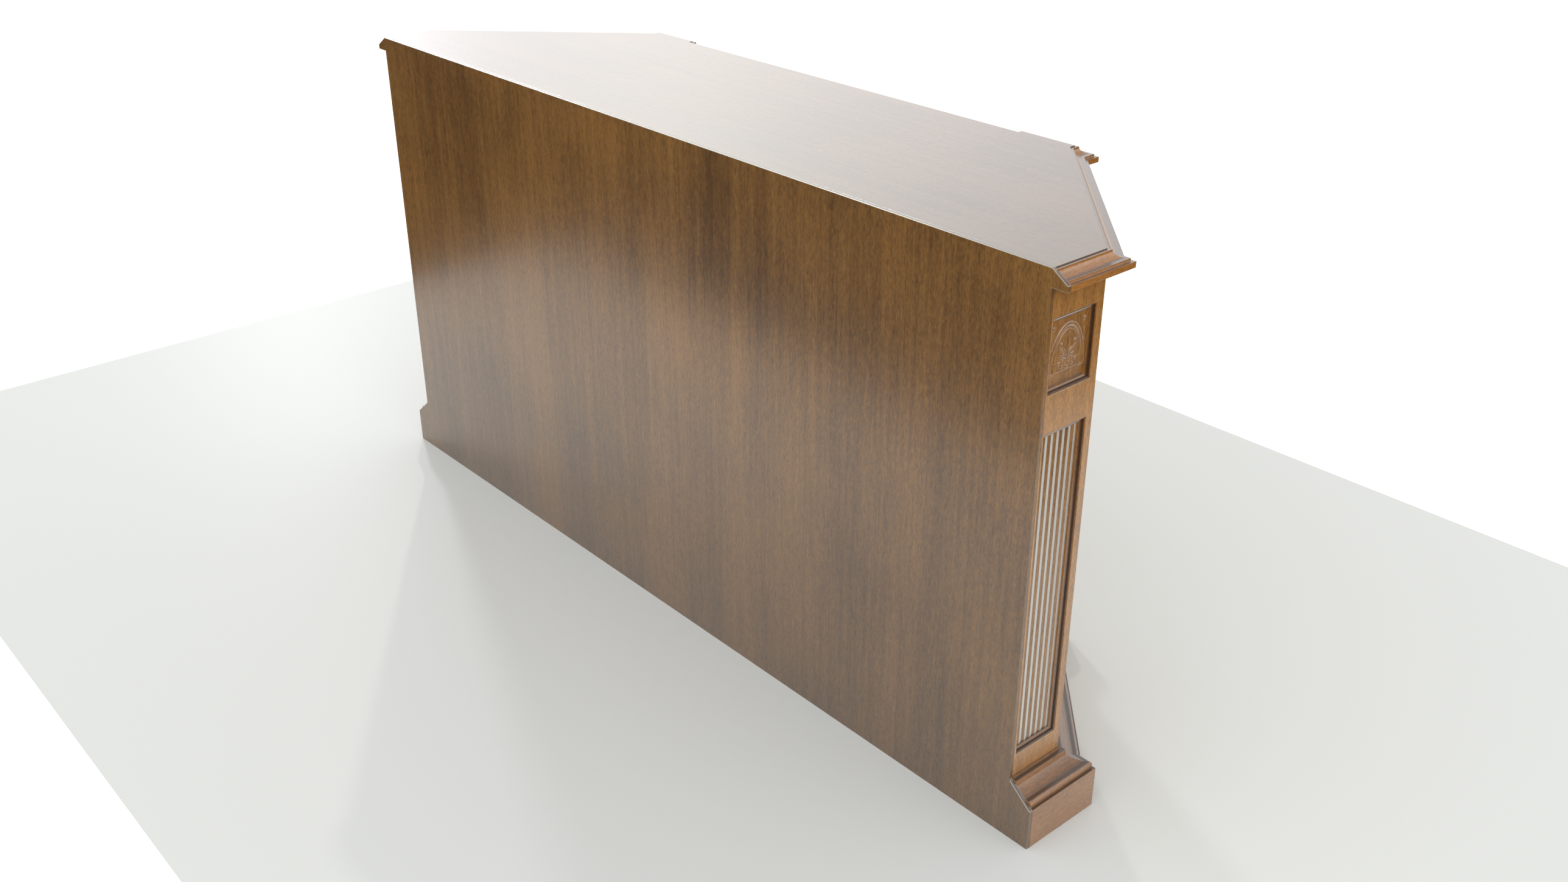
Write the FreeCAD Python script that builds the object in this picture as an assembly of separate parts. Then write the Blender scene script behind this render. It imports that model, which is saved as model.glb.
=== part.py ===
"""Wooden pulpit: a wide, closed-back desk front with pilasters, cornice and plinth.

Frame: millimetres, +Z up, origin on the floor under the middle of the whole outline.
The congregation's side faces -Y, the speaker stands on the +Y side.
"front" distances are measured forwards from the flat back face.
"""
import FreeCAD, Part
import math
import os

os.makedirs("parts", exist_ok=True)

V = FreeCAD.Vector
UP = V(0, 0, 1)

# ---------------------------------------------------------------- driving dimensions
height = 1219.2              # floor to top surface
body_half_width = 1143.8     # middle to the face of a side pilaster
side_depth = 148.7           # back face to the front corner of a side pilaster
splay_line = 1288.0          # x + front distance of every point on a splayed wall's face
pilaster_outer = 713.0       # middle to the outer edge of a front pilaster
pilaster_inner = 566.0       # middle to the inner edge of a front pilaster
pilaster_front = 592.0       # back face to the face of the front pilasters
centre_front = 580.0         # back face to the face of the centre wall

back_thick = 9.0             # back panel
top_thick = 35.2             # top board
top_set_in = 1.9             # top board's edge behind the body's faces
wall_thick = 22.0            # stiles and rails
board_thick = 18.0           # partitions and bottom board

rebate_deep = 8.5            # depth of a panel moulding below the wall's face
rebate_wide = 10.5           # width of a panel moulding
opening_low = (197.5, 902.0)       # heights of the tall openings
opening_high = (978.5, 1124.0)     # heights of the frieze openings
pilaster_opening = 117.0           # width of an opening in a pilaster
side_opening_start = 17.7          # from a side pilaster's front corner to its opening
wide_stile = 60.0                  # stiles of the splayed and centre walls
centre_bays = 3

ground_deep = 12.0           # panel ground below the wall's face
panel_back = 20.5            # back of every panel below the wall's face
reed_count = 6
reed_rise = 3.2              # crest of a reed above its valley

rim_wide = 4.0               # carved panels: border
rim_rise = 1.5
arch_foot = 21.0             # above the panel's lower edge
arch_half_wide = 46.5
arch_tall = 88.0
arch_band = 8.5
arch_rise = 2.5
sprig_root = 20.0            # above the arch's foot
stem_wide = 3.0
bud_radius = 4.5
bud_tip = 0.8
bud_long = 13.0

cornice_out = 34.4           # nosing in front of the body's faces
nosing_high = 11.9
board_above_lip = 2.4        # top board's surface above the cornice's lip
plinth_out = 57.2            # plinth face in front of the body's faces
plinth_high = 95.3
plinth_board_thick = 22.0
cap_high = 51.7              # base cap, from plinth board to its top fillet
cap_foot = 51.4              # base cap's foot in front of the body's faces
cap_fillet_out = 2.0         # top fillet of the base cap
cap_fillet_high = 7.0

bottom_board_low = 60.0
cleat = 30.0                 # battens under the top board
cleat_thick = 22.0
screw_radius = 2.5
screw_long = 46.0
screw_head_radius = 4.5
screw_head_high = 3.0

body_top = height - top_thick
back_y = (pilaster_front + plinth_out) / 2.0
far = 4000.0                 # longer than anything here, for trimming


# ---------------------------------------------------------------- small tools
def plan(x, front):
    """Point on the floor plan, from its x and its distance in front of the back face."""
    return V(x, back_y - front, 0)


def write(node, solids):
    """One STEP file per node, holding one solid or a group of separate solids."""
    shape = solids[0] if len(solids) == 1 else Part.makeCompound(solids)
    for solid in solids:
        if not solid.isValid() or solid.Volume <= 0:
            raise ValueError(node + " holds a bad solid")
    shape.exportStep("parts/" + node + ".step")
    print(node, len(solids), round(sum(s.Volume for s in solids) / 1e6, 3), "litres")


def mirrored(solids):
    """The same solids on the other side of the middle plane."""
    return [s.mirror(V(0, 0, 0), V(1, 0, 0)) for s in solids]


def both_sides(name, solids):
    write("right_" + name, solids)
    write("left_" + name, mirrored(solids))


def block(x0, x1, y0, y1, z0, z1):
    return Part.makeBox(x1 - x0, y1 - y0, z1 - z0, V(x0, y0, z0))


def prism(points, z0, z1):
    """Upright prism over a plan outline."""
    base = [V(p.x, p.y, z0) for p in points]
    face = Part.Face(Part.makePolygon(base + [base[0]]))
    return face.extrude(V(0, 0, z1 - z0))


def beyond(point, normal):
    """Everything on the far side of an upright plane, for trimming a solid."""
    box = Part.makeBox(far, far, far, V(0, -far / 2, -far / 2))
    turn = FreeCAD.Rotation(V(1, 0, 0), normal)
    box.Placement = FreeCAD.Placement(point, turn)
    return box


def line(a, b):
    return Part.LineSegment(a, b).toShape()


def curve(a, middle, b):
    return Part.Arc(a, middle, b).toShape()


def bulged(a, b, bulge):
    """Arc from a to b whose middle stands off the chord by bulge, to the left of a-b."""
    chord = b - a
    left = V(-chord.z, 0, chord.x)
    left.normalize()
    return curve(a, (a + b) * 0.5 + left * bulge, b)


# ---------------------------------------------------------------- floor plan of the body
half_outline = [
    (body_half_width, 0.0),
    (body_half_width, side_depth),
    (splay_line - side_depth, side_depth),
    (pilaster_outer, splay_line - pilaster_outer),
    (pilaster_outer, pilaster_front),
    (pilaster_inner, pilaster_front),
    (pilaster_inner, centre_front),
]
outline = [plan(x, f) for x, f in half_outline]
outline += [plan(-x, f) for x, f in reversed(half_outline)]
run_count = len(outline) - 1


def run_direction(i):
    along = outline[i + 1] - outline[i]
    along.normalize()
    return along


def run_outward(i):
    """Outward normal of a run; the outline goes clockwise seen from above."""
    along = run_direction(i)
    return V(-along.y, along.x, 0)


def outline_set_out(distance):
    """The outline moved outwards, its corners mitred."""
    points = [outline[0] + run_outward(0) * distance]
    for i in range(1, run_count):
        n0 = run_outward(i - 1)
        n1 = run_outward(i)
        points.append(outline[i] + (n0 + n1) * (distance / (1 + n0.dot(n1))))
    points.append(outline[-1] + run_outward(run_count - 1) * distance)
    return points


def mitre_direction(i):
    """Square to the mitre at point i, along the outline; at its two ends, square to the back."""
    if i == 0:
        return V(0, -1, 0)
    if i == run_count:
        return V(0, 1, 0)
    return run_direction(i - 1) + run_direction(i)


def mitre_point(i):
    """A point on the mitre at point i; the outline's two ends stop at the back panel."""
    return plan(0, back_thick) if i in (0, run_count) else outline[i]


def moulded_run(i, profile):
    """One mitred length of a moulding whose profile is drawn with x outwards and z up."""
    along = run_direction(i)
    spare = 3 * plinth_out
    long = (outline[i + 1] - outline[i]).Length
    face = profile.copy()
    turn = FreeCAD.Rotation(V(1, 0, 0), run_outward(i))
    face.Placement = FreeCAD.Placement(outline[i] - along * spare, turn)
    solid = face.extrude(along * (long + 2 * spare))
    solid = solid.cut(beyond(mitre_point(i), -mitre_direction(i)))
    solid = solid.cut(beyond(mitre_point(i + 1), mitre_direction(i + 1)))
    return solid.Solids[0]


moulding_groups = {
    "right_side": (0, 1),
    "right_splay": (2,),
    "right_pilaster": (3, 4, 5),
    "centre": (6,),
    "left_pilaster": (7, 8, 9),
    "left_splay": (10,),
    "left_side": (11, 12),
}


def write_moulding(name, profile):
    for group, runs in moulding_groups.items():
        write(group + "_" + name, [moulded_run(i, profile) for i in runs])


# ---------------------------------------------------------------- cornice, base cap, plinth
def cornice_profile():
    """Lip, cove, fillet and nosing, drawn from the top board's edge outwards."""
    lip_out = 4.5
    lip_high = 3.6
    cove_out = 20.5
    fillet_out = 27.4
    fillet_high = 5.5
    cove_bulge = -2.6
    z_top = height - board_above_lip
    z_nosing = body_top + nosing_high
    z_fillet = z_nosing + fillet_high
    a = V(-top_set_in, 0, z_top)
    b = V(lip_out, 0, z_top)
    c = V(lip_out, 0, z_top - lip_high)
    d = V(cove_out, 0, z_fillet)
    e = V(fillet_out, 0, z_fillet)
    f = V(fillet_out, 0, z_nosing)
    g = V(cornice_out, 0, z_nosing)
    h = V(cornice_out, 0, body_top)
    k = V(-top_set_in, 0, body_top)
    edges = [line(a, b), line(b, c), bulged(c, d, cove_bulge), line(d, e), line(e, f),
             line(f, g), line(g, h), line(h, k), line(k, a)]
    return Part.Face(Part.Wire(edges))


def base_cap_profile():
    """Fillet, flat, long hollow slope, rounded bead and foot."""
    flat_out = 11.0
    drop_out = 12.5
    drop_high = 13.0
    slope_out = 38.9
    slope_bulge = -1.8
    bead_high = 16.3
    bead = 6.7
    bead_bulge = bead * (1 - math.sqrt(0.5))
    z_top = plinth_high + cap_high
    z_flat = z_top - cap_fillet_high
    z_bead = plinth_high + bead_high
    a = V(0, 0, z_top)
    b = V(cap_fillet_out, 0, z_top)
    c = V(cap_fillet_out, 0, z_flat)
    d = V(flat_out, 0, z_flat)
    e = V(drop_out, 0, z_flat - drop_high)
    f = V(slope_out, 0, z_bead)
    g = V(cap_foot - bead, 0, z_bead)
    h = V(cap_foot, 0, z_bead - bead)
    k = V(cap_foot, 0, plinth_high)
    m = V(0, 0, plinth_high)
    edges = [line(a, b), line(b, c), line(c, d), line(d, e), bulged(e, f, slope_bulge), line(f, g),
             bulged(g, h, bead_bulge), line(h, k), line(k, m), line(m, a)]
    return Part.Face(Part.Wire(edges))


def plinth_profile():
    inner = plinth_out - plinth_board_thick
    corners = [V(inner, 0, 0), V(plinth_out, 0, 0),
               V(plinth_out, 0, plinth_high), V(inner, 0, plinth_high)]
    return Part.Face(Part.makePolygon(corners + [corners[0]]))


def plinth_packers():
    """Blocks that hold the plinth boards off the walls, spaced along each long run."""
    packer_long = 60.0
    packer_high = 70.0
    deep = plinth_out - plinth_board_thick
    packers_on_run = {0: 1, 2: 3, 4: 1, 6: 5, 8: 1, 10: 3, 12: 1}
    blocks = []
    for i, count in packers_on_run.items():
        along = run_direction(i)
        start = outline[i]
        long = (outline[i + 1] - start).Length
        for k in range(count):
            middle = start + along * (long * (k + 0.5) / count)
            low = middle - along * (packer_long / 2)
            corners = [low, low + along * packer_long]
            corners += [p + run_outward(i) * deep for p in reversed(corners)]
            blocks.append(prism(corners, 0, packer_high))
    return blocks


# ---------------------------------------------------------------- framed walls
# A wall is drawn flat: x along it, y into it from its face, z up.
def stile(x0, x1, lap_left, lap_right):
    """Upright with a rebate on each side that has a panel beside it."""
    left = x0 - rebate_wide * lap_left
    right = x1 + rebate_wide * lap_right
    front = block(x0, x1, 0, rebate_deep, 0, body_top)
    rear = block(left, right, rebate_deep, wall_thick, 0, body_top)
    return front.fuse(rear).removeSplitter().Solids[0]


def rail(x0, x1, z0, z1, lap_low, lap_high):
    """Cross piece halved onto its stiles and rebated beside each panel."""
    low = z0 - rebate_wide * lap_low
    high = z1 + rebate_wide * lap_high
    front = block(x0, x1, 0, rebate_deep, z0, z1)
    rear = block(x0 + rebate_wide, x1 - rebate_wide, rebate_deep, wall_thick, low, high)
    return front.fuse(rear).removeSplitter().Solids[0]


def bay_rails(x0, x1):
    return [
        rail(x0, x1, 0, opening_low[0], 0, 1),
        rail(x0, x1, opening_low[1], opening_high[0], 1, 1),
        rail(x0, x1, opening_high[1], body_top, 1, 0),
    ]


def panel_moulding_profile():
    """Section of the moulding in an opening: x inwards from the opening's edge, y into the wall."""
    step_deep = 1.6
    step_wide = 2.2
    edge_high = 0.5
    a = V(0, step_deep, 0)
    b = V(step_wide, step_deep, 0)
    cove_middle = V(2.9, 4.6, 0)
    c = V(5.0, 6.0, 0)
    slope_middle = V(8.0, 6.6, 0)
    d = V(rebate_wide, rebate_deep - edge_high, 0)
    e = V(rebate_wide, rebate_deep, 0)
    f = V(0, rebate_deep, 0)
    edges = [line(a, b), curve(b, cove_middle, c), curve(c, slope_middle, d),
             line(d, e), line(e, f), line(f, a)]
    return Part.Face(Part.Wire(edges))


def opening_moulding(x0, x1, z0, z1):
    """Four mitred strips round the inside of an opening."""
    strips = []
    for corner, long, turn in (
        (V(x0, 0, z0), x1 - x0, 0), (V(x1, 0, z0), z1 - z0, -90),
        (V(x1, 0, z1), x1 - x0, 180), (V(x0, 0, z1), z1 - z0, 90),
    ):
        section = panel_moulding_profile()
        section.rotate(V(0, 0, 0), V(0, 1, 0), -90)
        solid = section.extrude(V(long, 0, 0))
        for at, lean in ((0, 1), (long, -1)):
            wedge = Part.makeBox(far, far, far, V(-far, -far / 2, -far / 2))
            wedge.rotate(V(0, 0, 0), V(0, 1, 0), 45)
            if lean < 0:
                wedge = wedge.mirror(V(0, 0, 0), V(1, 0, 0))
            wedge.translate(V(at, 0, 0))
            solid = solid.cut(wedge)
        solid.rotate(V(0, 0, 0), V(0, 1, 0), turn)
        solid.translate(corner)
        strips.append(solid.Solids[0])
    return strips


def panel_limits(x0, x1, opening):
    """Where a panel fits, inside the mouldings of an opening."""
    inset = rebate_wide
    return x0 + inset, x1 - inset, opening[0] + inset, opening[1] - inset


def reeded_panel(x0, x1, opening):
    """Board whose face is a row of upright reeds, each a hollow arc and a round arc."""
    left, right, low, high = panel_limits(x0, x1, opening)
    half = (right - left) / reed_count / 2
    valley = ground_deep
    crest = ground_deep - reed_rise
    middle = (valley + crest) / 2
    sag = reed_rise / 2
    edges = []
    x = left
    for k in range(2 * reed_count):
        side = -1 if k % 2 == 0 else 1
        a = V(x, middle, low)
        b = V(x + half, middle, low)
        edges.append(curve(a, V(x + half / 2, middle + side * sag, low), b))
        x += half
    edges.append(line(V(right, middle, low), V(right, panel_back, low)))
    edges.append(line(V(right, panel_back, low), V(left, panel_back, low)))
    edges.append(line(V(left, panel_back, low), V(left, middle, low)))
    return Part.Face(Part.Wire(edges)).extrude(V(0, 0, high - low))


def half_ellipse_face(cx, foot, half_wide, tall, y):
    """Half ellipse standing on its flat side, drawn in the wall's plane at depth y."""
    left = V(cx - half_wide, y, foot)
    right = V(cx + half_wide, y, foot)
    ellipse = Part.Ellipse(V(cx, y, foot + tall), V(cx + half_wide, y, foot), V(cx, y, foot))
    arc = Part.Arc(ellipse, -math.pi / 2, math.pi / 2).toShape()
    ends = [v.Point for v in arc.Vertexes]
    if max(abs(ends[0].z - foot), abs(ends[1].z - foot)) > 0.01:
        arc = Part.Arc(ellipse, math.pi / 2, 3 * math.pi / 2).toShape()
    return Part.Face(Part.Wire([arc, line(left, right)]))


def carved_panel(x0, x1, opening):
    """Board with a raised border, a tall round arch and a three-budded sprig in it."""
    left, right, low, high = panel_limits(x0, x1, opening)
    cx = (left + right) / 2
    foot = low + arch_foot
    root = foot + sprig_root
    solid = block(left, right, ground_deep, panel_back, low, high)
    rim = block(left, right, ground_deep - rim_rise, ground_deep, low, high)
    rim = rim.cut(block(left + rim_wide, right - rim_wide, 0, panel_back, low + rim_wide, high - rim_wide))
    solid = solid.fuse(rim)
    raised = V(0, -arch_rise, 0)
    arch = half_ellipse_face(cx, foot, arch_half_wide, arch_tall, ground_deep).extrude(raised)
    inner_half_wide = arch_half_wide - arch_band
    inner_tall = arch_tall - arch_band
    arch = arch.cut(half_ellipse_face(cx, foot, inner_half_wide, inner_tall, ground_deep).extrude(raised))
    solid = solid.fuse(arch)
    ground_line = block(cx - inner_half_wide, cx + inner_half_wide, ground_deep - rim_rise, ground_deep,
                        root - stem_wide, root)
    solid = solid.fuse(ground_line)
    for lean, stem_long in ((0, 40.0), (-33, 20.0), (33, 20.0)):
        stem = block(cx - stem_wide / 2, cx + stem_wide / 2, ground_deep - arch_rise, ground_deep,
                     root, root + stem_long)
        bud = Part.makeCone(bud_radius, bud_tip, bud_long, V(cx, ground_deep, root + stem_long), UP)
        bud = bud.cut(block(left, right, ground_deep, panel_back, low, high))
        sprig = stem.fuse(bud)
        sprig.rotate(V(cx, 0, root), V(0, 1, 0), lean)
        solid = solid.fuse(sprig)
    return solid.removeSplitter().Solids[0]


def fielded_panel(x0, x1, opening):
    """Board with a raised field and sloping borders."""
    left, right, low, high = panel_limits(x0, x1, opening)
    slope_wide = 26.0
    lip = 4.0
    field_deep = 5.5
    solid = block(left, right, ground_deep, panel_back, low, high)
    rings = []
    for inset, depth in ((lip, ground_deep), (slope_wide, field_deep)):
        corners = [(left + inset, low + inset), (right - inset, low + inset),
                   (right - inset, high - inset), (left + inset, high - inset)]
        points = [V(x, depth, z) for x, z in corners]
        rings.append(Part.makePolygon(points + [points[0]]))
    field = Part.makeLoft(rings, True, True)
    return solid.fuse(field).removeSplitter().Solids[0]


def placed(solids, start, outward):
    """Stand a flat-drawn wall in its place, its face looking outwards."""
    turn = FreeCAD.Rotation(V(0, -1, 0), outward)
    spot = FreeCAD.Placement(start, turn)
    result = []
    for solid in solids:
        copy = solid.copy()
        copy.Placement = spot.multiply(copy.Placement)
        result.append(copy)
    return result


class Wall:
    """Stiles, rails, mouldings and panels of one wall, drawn flat."""

    def __init__(self, long, openings):
        self.frame = []
        self.mouldings = []
        self.bays = openings
        edges = [0.0] + [x for pair in openings for x in pair] + [long]
        for k in range(0, len(edges), 2):
            first = k == 0
            last = k == len(edges) - 2
            self.frame.append(stile(edges[k], edges[k + 1], 0 if first else 1, 0 if last else 1))
        for x0, x1 in openings:
            self.frame += bay_rails(x0, x1)
            for opening in (opening_low, opening_high):
                self.mouldings += opening_moulding(x0, x1, opening[0], opening[1])

    def panels(self, make, opening):
        return [make(x0, x1, opening) for x0, x1 in self.bays]


def build_pilaster(name, long, opening_start, start, outward):
    wall = Wall(long, [(opening_start, opening_start + pilaster_opening)])
    both_sides(name + "_frame", placed(wall.frame, start, outward))
    both_sides(name + "_panel_mouldings", placed(wall.mouldings, start, outward))
    both_sides(name + "_carved_panel", placed(wall.panels(carved_panel, opening_high), start, outward))
    both_sides(name + "_reeded_panel", placed(wall.panels(reeded_panel, opening_low), start, outward))


def build_splayed_wall():
    start = plan(pilaster_outer, splay_line - pilaster_outer)
    outward = V(1, -1, 0)
    outward.normalize()
    long = (splay_line - side_depth - pilaster_outer) * math.sqrt(2)
    wall = Wall(long, [(wide_stile, long - wide_stile)])
    at_pilaster = beyond(plan(pilaster_outer, 0), V(-1, 0, 0))
    at_side = beyond(plan(0, side_depth), V(0, 1, 0))
    frame = [s.cut(at_pilaster).cut(at_side).Solids[0] for s in placed(wall.frame, start, outward)]
    both_sides("splay_frame", frame)
    both_sides("splay_panel_mouldings", placed(wall.mouldings, start, outward))
    panels = wall.panels(fielded_panel, opening_high) + wall.panels(fielded_panel, opening_low)
    both_sides("splay_panels", placed(panels, start, outward))


def build_centre_wall():
    long = 2 * pilaster_inner
    bay = (long - wide_stile * (centre_bays + 1)) / centre_bays
    openings = []
    for k in range(centre_bays):
        x0 = wide_stile + k * (bay + wide_stile)
        openings.append((x0, x0 + bay))
    wall = Wall(long, openings)
    start = plan(-pilaster_inner, centre_front)
    outward = V(0, -1, 0)
    write("centre_frame", placed(wall.frame, start, outward))
    write("centre_panel_mouldings", placed(wall.mouldings, start, outward))
    write("centre_frieze_panels", placed(wall.panels(fielded_panel, opening_high), start, outward))
    write("centre_tall_panels", placed(wall.panels(fielded_panel, opening_low), start, outward))


# ---------------------------------------------------------------- back, top and carcass
def back_panel():
    """One flat sheet that also closes the ends of the cornice and of the plinth."""
    cap_top = plinth_high + cap_high
    half = [
        (plinth_out, 0.0), (plinth_out, plinth_high),
        (cap_fillet_out, cap_top - cap_fillet_high), (0.0, cap_top),
        (0.0, body_top), (cornice_out, body_top),
        (cornice_out, body_top + nosing_high), (-top_set_in, height),
    ]
    points = [V(body_half_width + u, back_y, z) for u, z in half]
    points += [V(-p.x, p.y, p.z) for p in reversed(points)]
    face = Part.Face(Part.makePolygon(points + [points[0]]))
    return face.extrude(V(0, -back_thick, 0))


def top_board():
    points = outline_set_out(-top_set_in)
    rear = back_y - back_thick
    points[0] = V(points[0].x, rear, 0)
    points[-1] = V(points[-1].x, rear, 0)
    return prism(points, body_top, height)


inner_half = body_half_width - wall_thick
inner_splay = splay_line - wall_thick * math.sqrt(2)
inner_front = centre_front - wall_thick


def bottom_board():
    half = [(inner_half, back_thick), (inner_half, inner_splay - inner_half),
            (inner_splay - inner_front, inner_front)]
    points = [plan(x, f) for x, f in half] + [plan(-x, f) for x, f in reversed(half)]
    return prism(points, bottom_board_low, bottom_board_low + board_thick)


def partition(x0):
    """Upright board across the inside, from the back panel to the front wall."""
    floor = bottom_board_low + board_thick
    y_back = back_y - back_thick
    y_front = back_y - inner_front
    return block(x0, x0 + board_thick, y_front, y_back, floor, body_top)


def corner_posts():
    """Posts behind the two bends of the right-hand wall."""
    leg = 60.0
    deep = 30.0
    step = leg / math.sqrt(2)
    slant = deep / math.sqrt(2)
    bend = inner_splay - inner_front
    front_post = [plan(bend - leg, inner_front), plan(bend, inner_front),
                  plan(bend + step, inner_front - step),
                  plan(bend + step - slant, inner_front - step - slant),
                  plan(bend - leg, inner_front - deep)]
    turn = inner_splay - inner_half
    side_post = [plan(inner_half, turn - leg), plan(inner_half, turn),
                 plan(inner_half - step, turn + step),
                 plan(inner_half - step - slant, turn + step - slant),
                 plan(inner_half - deep, turn - leg)]
    floor = bottom_board_low + board_thick
    return [prism(front_post, floor, body_top), prism(side_post, floor, body_top)]


partition_x = pilaster_inner + 5.0     # near face of a side partition
cleat_bays = [(board_thick / 2, partition_x), (partition_x + board_thick, inner_half - wall_thick)]


def cleats():
    """Battens under the top board, along the back panel and along the centre wall."""
    y_back = back_y - back_thick
    y_front = back_y - inner_front
    solids = []
    for x0, x1 in cleat_bays:
        solids.append(block(x0, x1, y_back - cleat_thick, y_back, body_top - cleat, body_top))
    x0, x1 = cleat_bays[0]
    solids.append(block(x0, x1, y_front, y_front + cleat_thick, body_top - cleat, body_top))
    return solids + mirrored(solids)


def screw_spots():
    """Three screws to each cleat, through its middle line."""
    spots = []
    for solid in cleats():
        box = solid.BoundBox
        for share in (0.15, 0.5, 0.85):
            x = box.XMin + box.XLength * share
            spots.append(V(x, box.Center.y, body_top - cleat - screw_head_high))
    return spots


def screw(spot):
    head = Part.makeCylinder(screw_head_radius, screw_head_high, spot)
    shank = Part.makeCylinder(screw_radius, screw_long, spot)
    return head.fuse(shank).removeSplitter().Solids[0]


def glue_blocks():
    """Three-cornered blocks under the bottom board, against the back panel and the centre wall."""
    leg = 40.0
    block_long = 80.0
    solids = []
    for x in (-900.0, -450.0, 0.0, 450.0, 900.0):
        for wall, inwards in ((back_y - back_thick, -1), (back_y - inner_front, 1)):
            beyond_centre_wall = abs(x) > pilaster_inner
            if inwards > 0 and beyond_centre_wall:
                continue
            corner = V(x - block_long / 2, wall, bottom_board_low)
            points = [corner, corner + V(0, inwards * leg, 0), corner - V(0, 0, leg)]
            face = Part.Face(Part.makePolygon(points + [points[0]]))
            solids.append(face.extrude(V(block_long, 0, 0)))
    return solids


# ---------------------------------------------------------------- write every node
write("back_panel", [back_panel()])

spots = screw_spots()
pilot_holes = Part.makeCompound([Part.makeCylinder(screw_radius, screw_long, s) for s in spots])
write("top_board", [top_board().cut(pilot_holes).Solids[0]])
write("top_cleats", [c.cut(pilot_holes).Solids[0] for c in cleats()])
write("cleat_screws", [screw(s) for s in spots])

write("bottom_board", [bottom_board()])
write("centre_partition", [partition(-board_thick / 2)])
both_sides("partition", [partition(partition_x)])
posts = corner_posts()
write("corner_posts", posts + mirrored(posts))
write("glue_blocks", glue_blocks())
write("plinth_packers", plinth_packers())

build_pilaster("side_pilaster", side_depth - back_thick, side_opening_start,
               plan(body_half_width, side_depth), V(1, 0, 0))
front_margin = (pilaster_outer - pilaster_inner - pilaster_opening) / 2
build_pilaster("front_pilaster", pilaster_outer - pilaster_inner, front_margin,
               plan(pilaster_inner, pilaster_front), V(0, -1, 0))
build_splayed_wall()
build_centre_wall()

write_moulding("cornice", cornice_profile())
write_moulding("base_cap", base_cap_profile())
write_moulding("plinth_board", plinth_profile())
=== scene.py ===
"""Wooden pulpit: closed back, splayed corners, carved and reeded pilasters, moulded top and foot.

Metres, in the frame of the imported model: +Z up, -Y towards the congregation, the flat back on the +Y side.
Each wall is drawn flat (x along it, y into it, z up) and then stood in its place.
"""

import math

import bmesh
import bpy
from mathutils import Matrix, Vector


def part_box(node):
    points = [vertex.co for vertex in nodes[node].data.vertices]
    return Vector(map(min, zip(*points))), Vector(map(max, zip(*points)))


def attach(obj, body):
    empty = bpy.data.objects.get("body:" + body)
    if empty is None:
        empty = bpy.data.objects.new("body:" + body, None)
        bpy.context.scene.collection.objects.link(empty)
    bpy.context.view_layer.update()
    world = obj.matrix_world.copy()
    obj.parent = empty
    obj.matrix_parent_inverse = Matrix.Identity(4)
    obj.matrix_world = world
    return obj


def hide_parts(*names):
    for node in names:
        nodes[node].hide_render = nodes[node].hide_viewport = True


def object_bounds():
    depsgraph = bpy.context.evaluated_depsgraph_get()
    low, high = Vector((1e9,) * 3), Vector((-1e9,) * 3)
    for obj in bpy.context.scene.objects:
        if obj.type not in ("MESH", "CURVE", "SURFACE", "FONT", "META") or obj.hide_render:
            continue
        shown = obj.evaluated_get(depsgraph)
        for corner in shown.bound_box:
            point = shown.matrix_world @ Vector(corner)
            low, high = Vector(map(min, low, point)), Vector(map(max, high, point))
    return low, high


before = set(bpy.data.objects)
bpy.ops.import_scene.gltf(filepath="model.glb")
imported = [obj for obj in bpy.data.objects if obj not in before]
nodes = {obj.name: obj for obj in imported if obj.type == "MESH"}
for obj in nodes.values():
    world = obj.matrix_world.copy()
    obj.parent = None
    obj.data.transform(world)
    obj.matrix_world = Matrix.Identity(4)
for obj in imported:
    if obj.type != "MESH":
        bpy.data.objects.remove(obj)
cad_low, cad_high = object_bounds()
mm = 0.001
UP = Vector((0, 0, 1))

# ---------------------------------------------------------------- places, read from the frame
side_low, side_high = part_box("right_side_pilaster_frame")
splay_low, splay_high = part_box("right_splay_frame")
pilaster_low, pilaster_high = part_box("right_front_pilaster_frame")
centre_low, centre_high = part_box("centre_frame")
carved_low, carved_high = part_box("right_side_pilaster_carved_panel")
reeded_low, reeded_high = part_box("right_side_pilaster_reeded_panel")
plinth_low, plinth_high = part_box("centre_plinth_board")
cap_low, cap_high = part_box("centre_base_cap")
cornice_low, cornice_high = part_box("centre_cornice")

back_y = cad_high.y
wall_thick = centre_high.y - centre_low.y
body_top = cornice_low.z
cornice_out = centre_low.y - cornice_low.y
plinth_out = centre_low.y - plinth_low.y
plinth_thick = plinth_high.y - plinth_low.y
cap_out = centre_low.y - cap_low.y

# ---------------------------------------------------------------- sizes of the joinery
recess_wide = 10.5 * mm      # moulding round a panel
recess_deep = 8.5 * mm
ground_deep = 12.0 * mm      # face of a flat panel below the wall's face
panel_back = 20.5 * mm
arris = 0.55 * mm            # softened edges
fine_arris = 0.3 * mm
back_arris = 1.1 * mm
plinth_arris = 0.8 * mm
sharp_angle = math.radians(38)

# ---------------------------------------------------------------- painted shade, pale edges of wear and painted highlight, board offsets
slope_shade = 0.35           # painted shade on faces that look up
level_shade = 0.65           # and more on level ones
level_from = 0.9
flat_recess_shade = 0.3      # painted shade on the parts of a panel moulding that lie flat
steep_recess_shade = 1.7     # and more on its steep sides
steep_from = 0.12
steep_full = 0.32
worn_highlight_tilt = 0.3              # an edge is painted pale, as wear and painted highlight, where it looks this much up or down
little_worn_highlight = 0.1
cut_apart = Vector((0.37, 0.73, 1.91))   # step through the tree from one piece's board to the next

openings = {
    "tall": (reeded_low.z - recess_wide, reeded_high.z + recess_wide),
    "frieze": (carved_low.z - recess_wide, carved_high.z + recess_wide),
}


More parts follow.
